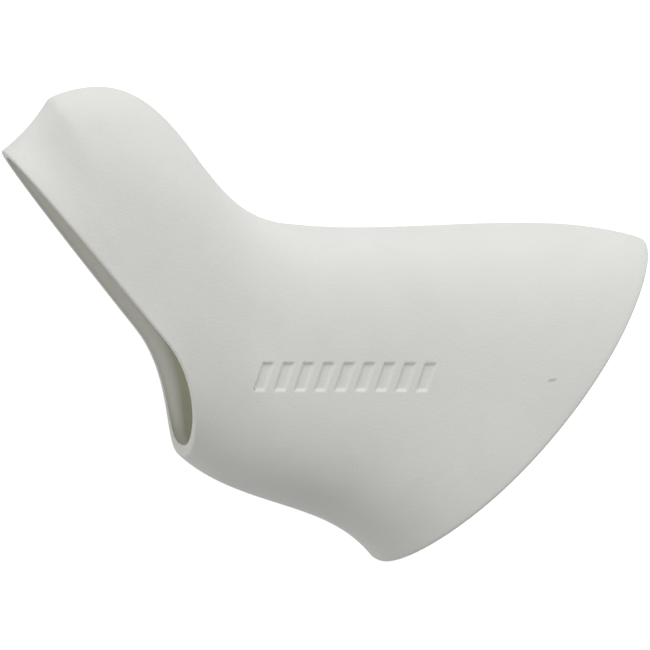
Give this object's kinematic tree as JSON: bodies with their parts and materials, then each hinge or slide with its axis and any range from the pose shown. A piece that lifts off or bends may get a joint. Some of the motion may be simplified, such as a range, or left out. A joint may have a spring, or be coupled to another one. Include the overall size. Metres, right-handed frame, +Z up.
{
  "type": "brake lever hood",
  "caption": "One-piece moulded rubber hood for a drop-bar brake lever: a bent hollow sleeve with a raised closed horn, a slanted front mouth and a wide handlebar mouth.",
  "frame": {"origin": "centre of the bounding box at floor level, with the loose hood lying on its plain side", "axes": "+X towards the handlebar mouth, +Y up along the horn, +Z up from the floor, out of the side with the pressed bars"},
  "size_m": [0.1146, 0.0824, 0.0372],
  "materials": {
    "hood_rubber": "matte off-white moulded rubber with a fine grain"
  },
  "bodies": {
    "root": {"hood": "hood_rubber"}
  },
  "joints": []
}
